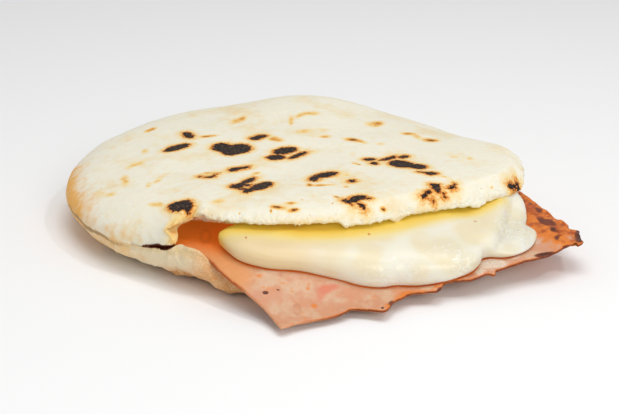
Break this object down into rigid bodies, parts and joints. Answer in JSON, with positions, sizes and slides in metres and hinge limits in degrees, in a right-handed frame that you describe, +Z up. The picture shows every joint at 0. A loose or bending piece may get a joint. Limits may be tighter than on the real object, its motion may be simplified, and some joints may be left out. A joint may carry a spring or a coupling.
{
  "type": "filled arepa corn cake",
  "caption": "Round grilled corn cake, split open at the front and filled with a drooping slice of ham and a thick slab of melted white cheese.",
  "frame": {"origin": "middle of the whole part's footprint, on the surface it lies on", "axes": "+Z up through the lid, -Y out of the mouth, +X to the right as seen into the mouth"},
  "size_m": [0.135, 0.1514, 0.023],
  "materials": {
    "corn_dough": "dry baked corn dough, cream white with browned and charred spots",
    "cooked_ham": "moist fried ham, pink with orange and brown edges",
    "melted_cheese": "glossy melted white cheese"
  },
  "bodies": {
    "root": {"arepa": "corn_dough", "ham": "cooked_ham", "cheese": "melted_cheese"}
  },
  "joints": []
}
